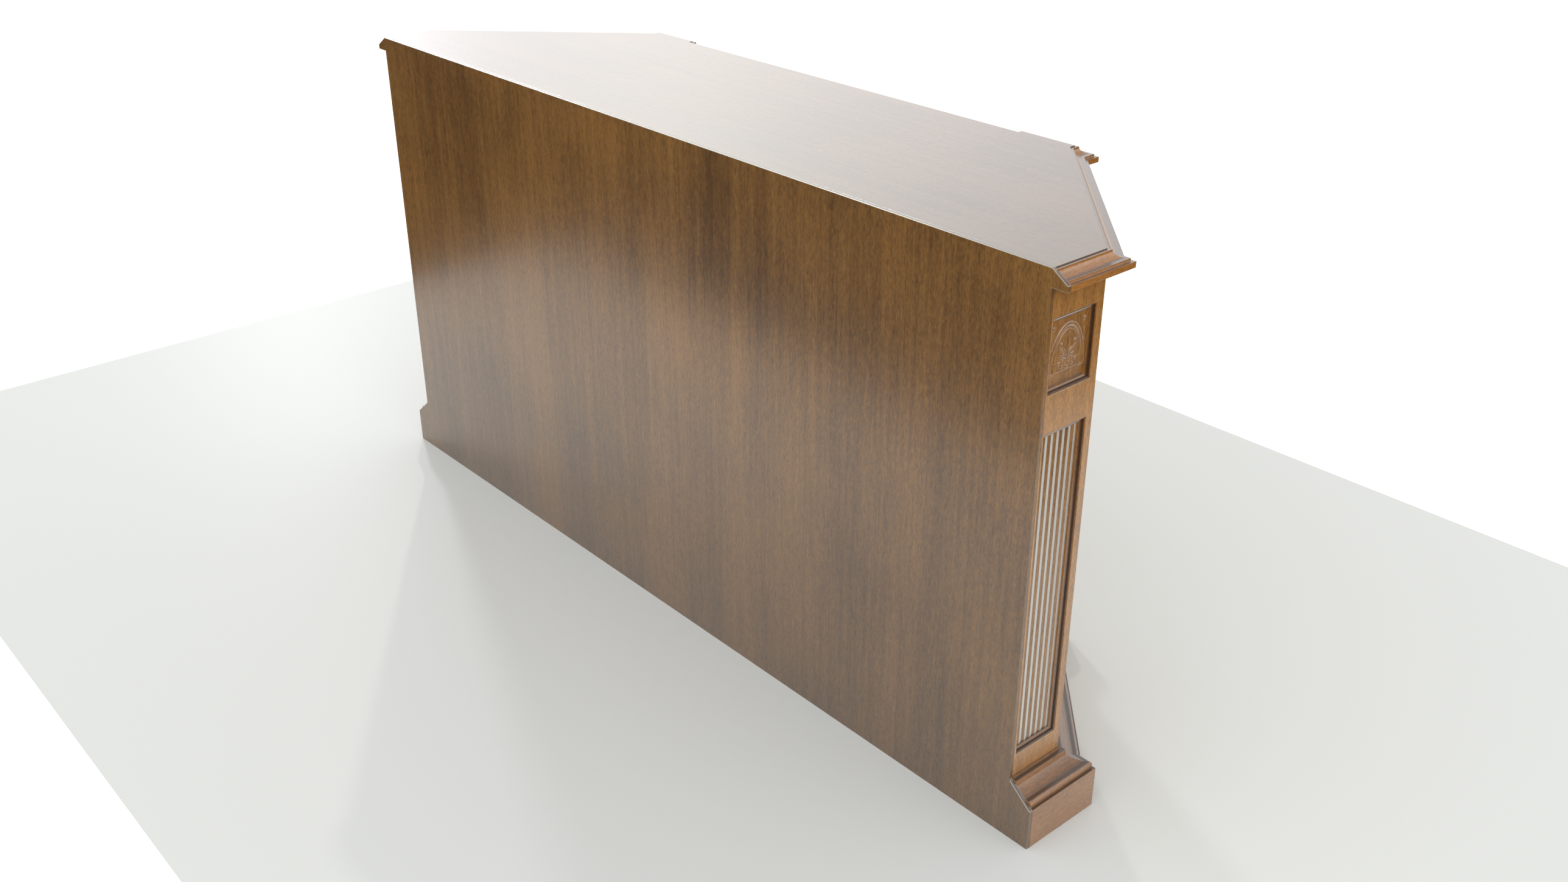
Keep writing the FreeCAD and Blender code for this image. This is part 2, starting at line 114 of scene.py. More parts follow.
# ---------------------------------------------------------------- small tools
def plane_cut(bm, point, normal):
    """Cut away what lies beyond a plane and close the cut."""
    geom = bm.verts[:] + bm.edges[:] + bm.faces[:]
    cut = bmesh.ops.bisect_plane(bm, geom=geom, dist=1e-7, plane_co=point, plane_no=normal,
                                 clear_outer=True)
    rim = [g for g in cut["geom_cut"] if isinstance(g, bmesh.types.BMEdge)]
    rim = [e for e in rim if e.is_boundary]
    if rim:
        bmesh.ops.edgeloop_fill(bm, edges=rim)


def soften(bm, width, keep=None):
    """Round the hard edges of a piece and mark them for the pale worn edge, which is wear and painted
    highlight; keep(edge) may leave some of them alone.
    """
    worn_highlight = bm.faces.layers.float.new("worn_highlight")
    bmesh.ops.recalc_face_normals(bm, faces=bm.faces[:])
    hard = [e for e in bm.edges if len(e.link_faces) == 2 and e.calc_face_angle(0) > sharp_angle]
    if keep:
        hard = [e for e in hard if not keep(e)]
    rounded = bmesh.ops.bevel(bm, geom=hard, offset=width, offset_type="OFFSET", segments=2, profile=0.5,
                              affect="EDGES", clamp_overlap=True, material=-1)
    bm.normal_update()
    for face in rounded["faces"]:
        # edges that look up or down get the full pale edge: wear and painted highlight
        face[worn_highlight] = 1.0 if abs(face.normal.z) > worn_highlight_tilt else little_worn_highlight


piece_count = 0


def shaded_above(face):
    """Painted shade on faces that look up, most on level ones."""
    up = max(0.0, face.normal.z)
    return slope_shade * up + level_shade * max(0.0, up - level_from) / (1 - level_from)


def unshaded(face):
    """Veneered boards get no painted shade."""
    return 0.0


def finish_piece(name, bm, material, stands_for=(), grain=UP, place=None, painted_shade=shaded_above):
    """Store each point's place in the board it was cut from and each face's painted shade, then make the
    piece.
    """
    global piece_count
    piece_count += 1
    if place:
        bmesh.ops.transform(bm, matrix=place, verts=bm.verts[:])
    bmesh.ops.recalc_face_normals(bm, faces=bm.faces[:])
    upright = grain == UP
    across = Vector((0, 1, 0)) if upright else UP
    side = grain.cross(across).normalized()
    cut_from = cut_apart * piece_count
    board = bm.verts.layers.float_vector.new("board")
    for vert in bm.verts:
        vert[board] = Vector((vert.co.dot(side), vert.co.dot(across), vert.co.dot(grain))) + cut_from
    bm.normal_update()
    shade_layer = bm.faces.layers.float.new("painted_shade")
    for face in bm.faces:
        face.smooth = True
        face[shade_layer] = painted_shade(face)
    for edge in bm.edges:
        edge.smooth = edge.calc_face_angle(0) < sharp_angle
    mesh = bpy.data.meshes.new(name)
    bm.to_mesh(mesh)
    bm.free()
    mesh.materials.append(material)
    piece = bpy.data.objects.new(name, mesh)
    bpy.context.scene.collection.objects.link(piece)
    weighted = piece.modifiers.new("flat faces stay flat", "WEIGHTED_NORMAL")
    weighted.keep_sharp = True
    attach(piece, "root")
    if stands_for:
        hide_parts(*stands_for)
    return piece


def joined(meshes):
    """One bmesh that holds several, each left as it is."""
    whole = bmesh.new()
    for part in meshes:
        scratch = bpy.data.meshes.new("scratch")
        part.to_mesh(scratch)
        part.free()
        whole.from_mesh(scratch)
        bpy.data.meshes.remove(scratch)
    return whole


def arc_points(start, end, bulge, steps):
    """Points of a shallow arc from start to end whose middle stands off the chord by bulge."""
    a, b = Vector(start), Vector(end)
    left = Vector((a.y - b.y, b.x - a.x)).normalized()
    points = []
    for k in range(steps + 1):
        t = k / steps
        points.append(a.lerp(b, t) + left * bulge * 4 * t * (1 - t))
    return points


def profile_face(bm, points, rounding):
    """Face from a closed profile of (out, up) points, drawn with out along -Y, its corners rounded."""
    verts = [bm.verts.new((0, -p[0], p[1])) for p in points]
    bm.faces.new(verts)
    corners = []
    for k, vert in enumerate(verts):
        into = vert.co - verts[k - 1].co
        out = verts[(k + 1) % len(verts)].co - vert.co
        if into.angle(out) > sharp_angle:
            corners.append(vert)
    bmesh.ops.bevel(bm, geom=corners, offset=rounding, offset_type="OFFSET", segments=3, profile=0.5,
                    affect="VERTICES", clamp_overlap=True, material=-1)


def extrude_all(bm, along):
    """Extrude the flat faces of a mesh into a closed solid."""
    made = bmesh.ops.extrude_face_region(bm, geom=bm.faces[:], use_keep_orig=True)
    moved = [g for g in made["geom"] if isinstance(g, bmesh.types.BMVert)]
    bmesh.ops.translate(bm, verts=moved, vec=along)


# ---------------------------------------------------------------- wood
def new_group(name, inputs, outputs):
    """An empty node group with named sockets."""
    group = bpy.data.node_groups.new(name, "ShaderNodeTree")
    for label, kind, default in inputs:
        socket = group.interface.new_socket(label, in_out="INPUT", socket_type=kind)
        if default is not None:
            socket.default_value = default
    for label, kind in outputs:
        group.interface.new_socket(label, in_out="OUTPUT", socket_type=kind)
    return group, group.nodes.new("NodeGroupInput"), group.nodes.new("NodeGroupOutput")


class Wiring:
    """Short ways to add and join nodes in one tree."""

    def __init__(self, tree):
        self.tree = tree

    def feed(self, socket, value):
        """Link a socket to another one, or set its value."""
        if isinstance(value, bpy.types.NodeSocket):
            self.tree.links.new(value, socket)
        else:
            socket.default_value = value

    def node(self, kind, inputs=None, **settings):
        made = self.tree.nodes.new(kind)
        for key, value in settings.items():
            setattr(made, key, value)
        for key, value in (inputs or {}).items():
            self.feed(made.inputs[key], value)
        return made

    def math(self, operation, a, b, clamp=False):
        made = self.node("ShaderNodeMath", {0: a, 1: b}, operation=operation, use_clamp=clamp)
        return made.outputs[0]

    def noise(self, vector, scale, detail=3.0, roughness=0.55, distortion=0.0):
        """Noise with its own scale along each axis."""
        stretched = self.node("ShaderNodeMapping", {"Vector": vector, "Scale": scale})
        made = self.node("ShaderNodeTexNoise", {
            "Vector": stretched.outputs["Vector"], "Scale": 1.0, "Detail": detail, "Roughness": roughness,
            "Distortion": distortion})
        return made.outputs["Fac"]

    def attribute(self, name, output="Fac"):
        """Value stored on the piece's mesh."""
        return self.node("ShaderNodeAttribute", attribute_name=name).outputs[output]

    def spread(self, value, low, high, to_low=0.0, to_high=1.0):
        """Value carried from one range to another and held at its ends."""
        made = self.node("ShaderNodeMapRange", {
            "Value": value, "From Min": low, "From Max": high, "To Min": to_low, "To Max": to_high})
        return made.outputs["Result"]

    def mix(self, factor, a, b, blend="MIX"):
        made = self.node("ShaderNodeMix", data_type="RGBA", blend_type=blend)
        self.feed(made.inputs["Factor"], factor)
        self.feed(made.inputs[6], a)
        self.feed(made.inputs[7], b)
        return made.outputs[2]


pore_depth = 0.7             # how much of a pore's tone shows
pore_darkness = 0.75
pore_color = (0.01, 0.006, 0.004, 1)
# colour that the painted shade darkens the wood towards
shade_tint = (0.16, 0.13, 0.10, 1)


def walnut_group():
    """Grain of veneered walnut: wide soft bands, finer streaks, short dark pores."""
    group, given, result = new_group("walnut grain", [
        ("Board", "NodeSocketVector", None),
        ("Dark", "NodeSocketColor", (0.1, 0.05, 0.02, 1)),
        ("Light", "NodeSocketColor", (0.3, 0.16, 0.06, 1)),
        ("Bands", "NodeSocketFloat", 1.0),
        ("Painted Shade", "NodeSocketFloat", 0.0),
    ], [("Color", "NodeSocketColor"), ("Roughness", "NodeSocketFloat"), ("Height", "NodeSocketFloat")])
    w = Wiring(group)
    board = given.outputs["Board"]
    bands = w.noise(board, (5.0, 5.0, 0.35), detail=3.0, roughness=0.5, distortion=0.3)
    blotch = w.noise(board, (2.2, 2.2, 2.6), detail=2.0, roughness=0.5, distortion=0.2)
    streaks = w.noise(board, (60.0, 60.0, 1.8), detail=4.0, roughness=0.6, distortion=0.2)
    fine = w.noise(board, (320.0, 320.0, 9.0), detail=4.0, roughness=0.7)
    mottle = w.noise(board, (150.0, 150.0, 45.0), detail=3.0, roughness=0.6, distortion=0.6)
    flecks = w.noise(board, (520.0, 520.0, 110.0), detail=2.0, roughness=0.6, distortion=0.4)
    pores = w.noise(board, (800.0, 800.0, 75.0), detail=2.0, roughness=0.6)

    def off_middle(layer, weight):
        return w.math("MULTIPLY", w.math("SUBTRACT", layer, 0.5), weight)

    tone = w.math("ADD", off_middle(bands, 1.5), off_middle(blotch, 0.9))
    tone = w.math("MULTIPLY", tone, given.outputs["Bands"])
    for layer, weight in ((streaks, 0.9), (fine, 0.9), (mottle, 0.9), (flecks, 1.1)):
        tone = w.math("ADD", tone, off_middle(layer, weight))
    tone = w.math("ADD", tone, 0.5, clamp=True)
    color = w.mix(tone, given.outputs["Dark"], given.outputs["Light"])
    pore = w.spread(pores, 0.44, 0.34)
    color = w.mix(w.math("MULTIPLY", pore, pore_depth), color, w.mix(pore_darkness, color, pore_color))
    # painted shade: darken the wood by the piece's painted-shade value
    color = w.mix(given.outputs["Painted Shade"], color, w.mix(1.0, color, shade_tint, "MULTIPLY"))
    w.feed(result.inputs["Color"], color)
    w.feed(result.inputs["Roughness"], w.spread(fine, 0.3, 0.7, -0.03, 0.03))
    w.feed(result.inputs["Height"], w.math("SUBTRACT", w.math("MULTIPLY", fine, 0.4), pore))
    return group


WALNUT = walnut_group()


wood_ior = 1.5
lacquer_ior = 1.85
lacquer_roughness = 0.22
lacquered_rough = 0.34
bare_rough = 0.6
grain_bump = 0.12
grain_depth = 0.3 * mm
shaded_below = 0.85           # painted shade darkens lacquered wood from this height down to the floor
# pale colour of worn edges, partly wear and partly painted highlight
worn_highlight_color = (0.62, 0.56, 0.46, 1)
worn_highlight_strength = 0.6
# painted reflection: pale colour mixed into the wood at glancing angles
painted_sheen_color = (0.66, 0.68, 0.65, 1)
painted_sheen_from = 0.096            # painted sheen by glancing angle
painted_sheen_full = 0.145
glancing_blend = 0.34
reed_relief = 4.5 * mm       # how round the painted sheen takes the reeds to be


def floor_shade_and_worn_highlight(w, color, shade_at_floor):
    """Paint shade on lacquered wood towards the floor, and paint its edges pale as wear and painted
    highlight.
    """
    place = w.node("ShaderNodeTexCoord").outputs["Object"]
    height = w.node("ShaderNodeSeparateXYZ", {"Vector": place}).outputs["Z"]
    color = w.mix(1.0, color, w.spread(height, 0.0, shaded_below, shade_at_floor, 1.0), "MULTIPLY")
    return w.mix(w.math("MULTIPLY", w.attribute("worn_highlight"), worn_highlight_strength), color, worn_highlight_color)


def with_painted_sheen(w, color, sheen, reeded):
    """Painted reflection: a pale colour mixed into the wood at glancing angles, which picks out the far
    flanks of the reeds.
    """
    glancing = w.node("ShaderNodeLayerWeight", {"Blend": glancing_blend})
    if reeded:
        raised = w.node("ShaderNodeBump", {
            "Strength": 1.0, "Distance": reed_relief, "Height": w.attribute("reed")})
        w.feed(glancing.inputs["Normal"], raised.outputs["Normal"])
    painted_sheen = w.spread(glancing.outputs["Fresnel"], painted_sheen_from, painted_sheen_full, 0.0, sheen)
    return w.mix(painted_sheen, color, painted_sheen_color)


def wood_material(name, tones, bands=1.0, lacquered=True, shade_at_floor=0.66, sheen=0.0, reeded=False,
                  upward_face_shade=None, object_grain=None):
    """Walnut between two tones. New pieces carry their places in the board; CAD pieces use the object's."""
    material = bpy.data.materials.new(name)
    material.use_nodes = True
    tree = material.node_tree
    w = Wiring(tree)
    shader = tree.nodes["Principled BSDF"]
    if object_grain:
        source = w.node("ShaderNodeTexCoord").outputs["Object"]
        turned = w.node("ShaderNodeMapping", {"Vector": source, "Rotation": object_grain})
        board = turned.outputs["Vector"]
    else:
        board = w.attribute("board", "Vector")
    dark, light = [(*tone, 1) for tone in tones]
    # faces that look up take darker tones: painted shade
    if upward_face_shade:
        edge = w.attribute("upward_face_shade")
        dark = w.mix(edge, dark, (*upward_face_shade[0], 1))
        light = w.mix(edge, light, (*upward_face_shade[1], 1))
    # painted shade stored on each face darkens the colour and, above 1, takes the coat off
    painted_shade = w.attribute("painted_shade")
    grain = w.node("ShaderNodeGroup", node_tree=WALNUT)
    w.feed(grain.inputs["Board"], board)
    w.feed(grain.inputs["Dark"], dark)
    w.feed(grain.inputs["Light"], light)
    w.feed(grain.inputs["Bands"], bands)
    w.feed(grain.inputs["Painted Shade"], w.math("MINIMUM", painted_shade, 1.0))
    color = grain.outputs["Color"]
    # painted shade towards the floor, and pale edges of wear and painted highlight
    if lacquered:
        color = floor_shade_and_worn_highlight(w, color, shade_at_floor)
    # painted reflection: pale colour at glancing angles
    if sheen:
        color = with_painted_sheen(w, color, sheen, reeded)
    w.feed(shader.inputs["Base Color"], color)
    rough = lacquered_rough if lacquered else bare_rough
    w.feed(shader.inputs["Roughness"], w.math("ADD", grain.outputs["Roughness"], rough, clamp=True))
    bump = w.node("ShaderNodeBump", {
        "Strength": grain_bump, "Distance": grain_depth, "Height": grain.outputs["Height"]})
    w.feed(shader.inputs["Normal"], bump.outputs["Normal"])
    shader.inputs["IOR"].default_value = wood_ior
    if lacquered:
        # painted shade above 1 also takes the coat off, so the shaded sides of a recess lose their reflection
        w.feed(shader.inputs["Coat Weight"], w.math("SUBTRACT", 2.0, painted_shade, clamp=True))
    shader.inputs["Coat Roughness"].default_value = lacquer_roughness
    shader.inputs["Coat IOR"].default_value = lacquer_ior
    return material


# dark and light tone of each wood
back_tones = ((0.118, 0.050, 0.010), (0.365, 0.172, 0.040))
# darker tones for the back panel's faces that look up: painted shade, like the top
back_upward_shade_tones = ((0.03, 0.015, 0.008), (0.08, 0.045, 0.02))
# the top is darker than the other walnut: painted shade on a face that looks up
top_shade_tones = ((0.06, 0.028, 0.010), (0.17, 0.08, 0.03))
frame_tones = ((0.29, 0.123, 0.024), (0.75, 0.345, 0.080))
moulding_tones = ((0.25, 0.095, 0.016), (0.64, 0.265, 0.055))
# darker than the other mouldings: painted shade in the recesses
panel_moulding_tones = ((0.21, 0.085, 0.016), (0.55, 0.24, 0.055))
panel_tones = ((0.24, 0.10, 0.020), (0.62, 0.28, 0.065))
reed_tones = ((0.21, 0.09, 0.019), (0.54, 0.25, 0.062))
carcass_tones = ((0.42, 0.29, 0.17), (0.66, 0.50, 0.33))

back_veneer = wood_material("back veneer", back_tones, shade_at_floor=0.48, upward_face_shade=back_upward_shade_tones)
top_veneer = wood_material("top veneer", top_shade_tones)
frame_wood = wood_material("frame wood", frame_tones, bands=0.6)
moulding_wood = wood_material("moulding wood", moulding_tones, bands=0.6, shade_at_floor=0.6)
panel_moulding_wood = wood_material("panel moulding wood", panel_moulding_tones, bands=0.6, sheen=0.6)
panel_wood = wood_material("panel wood", panel_tones, bands=0.5, sheen=0.6)
reeded_wood = wood_material("reeded wood", reed_tones, bands=0.5, sheen=1.0, reeded=True)
carcass_wood = wood_material("carcass wood", carcass_tones, lacquered=False,
                             object_grain=(0.0, math.radians(90), 0.0))


def steel_material():
    """Bright steel with fine turning scratches."""
    material = bpy.data.materials.new("screw steel")
    material.use_nodes = True
    w = Wiring(material.node_tree)
    shader = material.node_tree.nodes["Principled BSDF"]
    place = w.node("ShaderNodeTexCoord").outputs["Object"]
    scratches = w.noise(place, (2000.0, 2000.0, 300.0), detail=2.0)
    w.feed(shader.inputs["Base Color"], w.mix(scratches, (0.50, 0.50, 0.48, 1), (0.66, 0.65, 0.62, 1)))
    w.feed(shader.inputs["Roughness"], w.spread(scratches, 0.3, 0.7, 0.28, 0.45))
    shader.inputs["Metallic"].default_value = 1.0
    return material


screw_steel = steel_material()

# ---------------------------------------------------------------- the body's outline
half_outline = [
    (side_high.x, back_y),
    (side_high.x, side_low.y),
    (splay_high.x, side_low.y),
    (splay_low.x, splay_low.y),
    (splay_low.x, pilaster_low.y),
    (pilaster_low.x, pilaster_low.y),
    (pilaster_low.x, centre_low.y),
]
outline = [Vector((x, y, 0)) for x, y in half_outline]
outline += [Vector((-x, y, 0)) for x, y in reversed(half_outline)]
run_count = len(outline) - 1
groups = {
    "right_side": (0, 1),
    "right_splay": (2,),
    "right_pilaster": (3, 4, 5),
    "centre": (6,),
    "left_pilaster": (7, 8, 9),
    "left_splay": (10,),
    "left_side": (11, 12),
}
back_panel_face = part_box("back_panel")[0].y


def run_direction(i):
    """Direction of run i of the outline."""
    return (outline[i + 1] - outline[i]).normalized()


def mitre(i):
    """A point on the mitre at outline point i, and its direction along the outline."""
    if i == 0:
        return Vector((0, back_panel_face, 0)), Vector((0, -1, 0))
    if i == run_count:
        return Vector((0, back_panel_face, 0)), Vector((0, 1, 0))
    return outline[i], (run_direction(i - 1) + run_direction(i)).normalized()


def moulded_run(i, profile, rounding):
    """One mitred length of a moulding, along run i of the outline."""
    along = run_direction(i)
    outward = Vector((-along.y, along.x, 0))
    spare = 3 * plinth_out
    bm = bmesh.new()
    profile_face(bm, profile, rounding)
    extrude_all(bm, Vector(((outline[i + 1] - outline[i]).length + 2 * spare, 0, 0)))
    turn = Matrix((along, -outward, UP)).transposed().to_4x4()
    bmesh.ops.transform(bm, matrix=Matrix.Translation(outline[i] - along * spare) @ turn, verts=bm.verts[:])
    point, direction = mitre(i)
    plane_cut(bm, point, -direction)
    point, direction = mitre(i + 1)
    plane_cut(bm, point, direction)
    return bm


def moulding(name, profile, rounding, material):
    """The moulding round the whole body, a piece for each straight run."""
    for group, runs in groups.items():
        for k, i in enumerate(runs):
            stands_for = [group + "_" + name] if k == 0 else []
            along = run_direction(i)
            finish_piece(group + "." + name + "." + str(k + 1), moulded_run(i, profile, rounding),
                         material, stands_for, grain=along)


def cornice_profile():
    """Lip, cove, fillet and nosing."""
    behind = -1.9 * mm
    lip_out = 4.5 * mm
    lip_top = cornice_high.z
    cove_top = lip_top - 3.6 * mm
    cove_out = 20.5 * mm
    cove_hollow = -2.6 * mm
    nosing = body_top + 11.9 * mm
    fillet = nosing + 5.5 * mm
    fillet_out = 27.4 * mm
    points = [(behind, body_top), (behind, lip_top), (lip_out, lip_top)]
    points += arc_points((lip_out, cove_top), (cove_out, fillet), cove_hollow, 14)
    points += [(fillet_out, fillet), (fillet_out, nosing), (cornice_out, nosing), (cornice_out, body_top)]
    return points


def base_cap_profile():
    """Fillet, flat, steep drop, long hollow slope, rounded bead and foot."""
    foot = cap_low.z
    top = cap_high.z
    fillet_out = 2.0 * mm
    flat = top - 7.0 * mm
    flat_out = 11.0 * mm
    slope_start = (12.5 * mm, flat - 13.0 * mm)
    slope_hollow = -1.8 * mm
    bead_top = foot + 16.3 * mm
    bead_start = (38.9 * mm, bead_top)
    bead = 6.7 * mm
    bead_steps = 8
    points = [(0, foot), (0, top), (fillet_out, top), (fillet_out, flat), (flat_out, flat)]
    points += arc_points(slope_start, bead_start, slope_hollow, 12)
    for k in range(bead_steps + 1):
        angle = math.radians(90 - 90 * k / bead_steps)
        points.append((cap_out - bead + bead * math.cos(angle), bead_top - bead + bead * math.sin(angle)))
    points.append((cap_out, foot))
    return points


def plinth_profile():
    """Plain board."""
    inner = plinth_out - plinth_thick
    return [(inner, 0), (inner, plinth_high.z), (plinth_out, plinth_high.z), (plinth_out, 0)]


moulding("cornice", cornice_profile(), fine_arris, moulding_wood)
moulding("base_cap", base_cap_profile(), fine_arris, moulding_wood)
moulding("plinth_board", plinth_profile(), plinth_arris, moulding_wood)


# ---------------------------------------------------------------- framed walls
class Wall:
    """A wall drawn flat: its length, its bays, where it stands and which nodes it stands for."""

    def __init__(self, name, long, bays, start, turn, mirrored=False):
        self.name = name
        self.long = long
        self.bays = bays
        place = Matrix.Translation(start) @ Matrix.Rotation(turn, 4, "Z")
        if mirrored:
            place = Matrix.Scale(-1, 4, Vector((1, 0, 0))) @ place
        self.place = place


def pierced_board(wall, face, rear, inset):
    """A board the size of the wall with its openings cut through, between two depths."""
    bm = bmesh.new()
    corners = [(0, face, 0), (wall.long, face, 0), (wall.long, face, body_top), (0, face, body_top)]
    bm.faces.new([bm.verts.new(p) for p in corners])
    holes = []
    for x0, x1 in wall.bays:
        for z0, z1 in openings.values():
            holes.append((x0 + inset, x1 - inset, z0 + inset, z1 - inset))
    cuts = {(x, 0) for hole in holes for x in hole[:2]} | {(z, 2) for hole in holes for z in hole[2:]}
    for value, axis in sorted(cuts):
        point = Vector((0, 0, 0))
        normal = Vector((0, 0, 0))
        point[axis] = value
        normal[axis] = 1
        bmesh.ops.bisect_plane(bm, geom=bm.verts[:] + bm.edges[:] + bm.faces[:], dist=1e-7,
                               plane_co=point, plane_no=normal)
    waste = []
    for flat in bm.faces:
        middle = flat.calc_center_median()
        for x0, x1, z0, z1 in holes:
            if x0 < middle.x < x1 and z0 < middle.z < z1:
                waste.append(flat)
    bmesh.ops.delete(bm, geom=waste, context="FACES")
    extrude_all(bm, Vector((0, rear - face, 0)))
    bmesh.ops.recalc_face_normals(bm, faces=bm.faces[:])
    return bm


def wall_frame(wall, trims=()):
    """Stiles and rails under one sheet of veneer, rebated behind for the panels."""
    parts = []
    for face, rear, inset in ((0, recess_deep, 0), (recess_deep, wall_thick, recess_wide)):
        bm = pierced_board(wall, face, rear, inset)
        bmesh.ops.transform(bm, matrix=wall.place, verts=bm.verts[:])
        for point, normal in trims:
            plane_cut(bm, point, normal)
        soften(bm, arris if face == 0 else fine_arris)
        parts.append(bm)
    finish_piece(wall.name + "_frame.wood", joined(parts), frame_wood, [wall.name + "_frame"])


def recess_profile():
    """Section of a panel moulding, (in from the opening's edge, depth): lip, hollow and flat round."""
    lip_deep = 1.6 * mm
    lip_wide = 2.2 * mm
    points = [(0, recess_deep), (0, lip_deep), (lip_wide, lip_deep)]
    points += arc_points((2.3 * mm, 1.9 * mm), (5.0 * mm, 6.0 * mm), -0.35 * mm, 5)
    points += arc_points((5.3 * mm, 6.15 * mm), (recess_wide, 8.0 * mm), 0.5 * mm, 6)
    points.append((recess_wide, recess_deep))
    return points


def recess_strip(long):
    """One strip along x, mitred at 45 degrees at both ends; the opening lies towards +z."""
    bm = bmesh.new()
    verts = [bm.verts.new((0, deep, inward)) for inward, deep in recess_profile()]
    bm.faces.new(verts)
    extrude_all(bm, Vector((long, 0, 0)))
    plane_cut(bm, Vector((0, 0, 0)), Vector((-1, 0, 1)))
    plane_cut(bm, Vector((long, 0, 0)), Vector((1, 0, 1)))
    return bm


def wall_mouldings(wall):
    """Four strips round each opening, as pieces by grain direction: level ones and upright ones."""
    level, upright = [], []
    for x0, x1 in wall.bays:
        for z0, z1 in openings.values():
            sides = ((x0, z0, x1 - x0, 0, level), (x1, z0, z1 - z0, 90, upright),
                     (x1, z1, x1 - x0, 180, level), (x0, z1, z1 - z0, 270, upright))
            for x, z, long, turn, strips in sides:
                bm = recess_strip(long)
                spin = Matrix.Rotation(math.radians(-turn), 4, "Y")
                bmesh.ops.transform(bm, matrix=Matrix.Translation((x, 0, z)) @ spin, verts=bm.verts[:])
                strips.append(bm)
    along = (wall.place.to_3x3() @ Vector((1, 0, 0))).normalized()
    outward = (wall.place.to_3x3() @ Vector((0, -1, 0))).normalized()

    def recess_shade(face):
        """Painted shade in a recess: some on its flat parts, most on its steep sides."""
        steep = 1 - max(0.0, face.normal.dot(outward))
        part = min(1.0, max(0.0, steep - steep_from) / (steep_full - steep_from))
        return flat_recess_shade + steep_recess_shade * part

    name = wall.name + "_panel_mouldings"
    finish_piece(name + ".level", joined(level), panel_moulding_wood, [name], grain=along,
                 place=wall.place, painted_shade=recess_shade)
    finish_piece(name + ".upright", joined(upright), panel_moulding_wood,
                 place=wall.place, painted_shade=recess_shade)


def panel_limits(bay, tier):
    """Left, right, foot and top of the panel inside its mouldings."""
    z0, z1 = openings[tier]
    return bay[0] + recess_wide, bay[1] - recess_wide, z0 + recess_wide, z1 - recess_wide


# ---------------------------------------------------------------- panels
reed_count = 6
reed_rise = 1.8 * mm
steps_in_reed = 14


def reeded_panel(bay, tier):
    """Upright reeds from edge to edge of a board, flat behind."""
    left, right, low, high = panel_limits(bay, tier)
    bm = bmesh.new()
    count = reed_count * steps_in_reed
    line = []
    for k in range(count + 1):
        x = left + (right - left) * k / count
        turn = 2 * math.pi * k / steps_in_reed
        deep = ground_deep - reed_rise * (1 - math.cos(turn)) / 2
        line.append(bm.verts.new((x, deep, low)))
    line.append(bm.verts.new((right, panel_back, low)))
    line.append(bm.verts.new((left, panel_back, low)))
    bm.faces.new(line)
    extrude_all(bm, Vector((0, 0, high - low)))
    relief = bm.verts.layers.float.new("reed")
    for vert in bm.verts:
        vert[relief] = max(0.0, (ground_deep - vert.co.y) / reed_rise)
    return bm


def step_up(value):
    """0 below 0, 1 above 1, smooth between."""
    t = min(1.0, max(0.0, value))
    return t * t * (3 - 2 * t)


def dome(x, z, cx, cz, wide, tall, lean=0.0):
    """Rounded bump, 1 in its middle and 0 outside its oval outline."""
    c, s = math.cos(lean), math.sin(lean)
    dx, dz = x - cx, z - cz
    u = (dx * c - dz * s) / wide
    v = (dx * s + dz * c) / tall
    return max(0.0, 1 - u * u - v * v) ** 0.5


def stem(x, z, a, b, wide):
    """Rounded ridge along the line from a to b."""
    ax, az = a
    bx, bz = b
    long2 = (bx - ax) ** 2 + (bz - az) ** 2
    t = min(1.0, max(0.0, ((x - ax) * (bx - ax) + (z - az) * (bz - az)) / long2))
    far = math.hypot(x - ax - t * (bx - ax), z - az - t * (bz - az))
    return max(0.0, 1 - (far / wide) ** 2) ** 0.5


def oval_distance(x, z, half_wide, tall):
    """Distance outside (+) or inside (-) of a half oval that stands on z = 0."""
    z = max(z, 0.0)
    size = math.hypot(x / half_wide, z / tall)
    slope = math.hypot(x / half_wide ** 2, z / tall ** 2) / max(size, 1e-6)
    return (size - 1) / max(slope, 1e-6)


arch_outer = (45.5, 86.0)    # half width and height of the arch's outer ridge, in mm
arch_inner = (37.5, 77.0)
arch_rise = 2.2
arch_ridge = 4.2
field_rise = 1.5
spandrel_carving = (         # rise, out from the middle, height, half width, half height
    (2.2, 43.5, 56.0, 3.0, 14.0),
    (2.2, 42.0, 86.0, 3.6, 4.6),
)
sprig_domes = (              # the same, and lean
    (2.4, 0.0, 52.0, 3.4, 21.0, 0.0),
    (2.8, 17.8, 49.0, 3.6, 7.0, 0.2),
    (1.8, 6.0, 34.0, 2.2, 9.0, 0.5),
    (1.6, 11.0, 27.0, 2.4, 8.0, 1.1),
)
sprig_stems = (              # rise, foot, tip, half width
    (1.8, (0.0, 18.0), (0.0, 38.0), 1.8),
    (1.5, (1.5, 22.0), (17.0, 43.0), 1.7),
)
berry_rise = 2.2
berry_tall = 1.15            # height of a berry over its width
berries = (                  # out from the middle, height, half width
    (0.0, 6.0, 3.2), (14.0, 9.0, 3.0), (12.5, 20.5, 2.6), (22.0, 16.0, 2.6), (5.0, 13.0, 2.4),
)


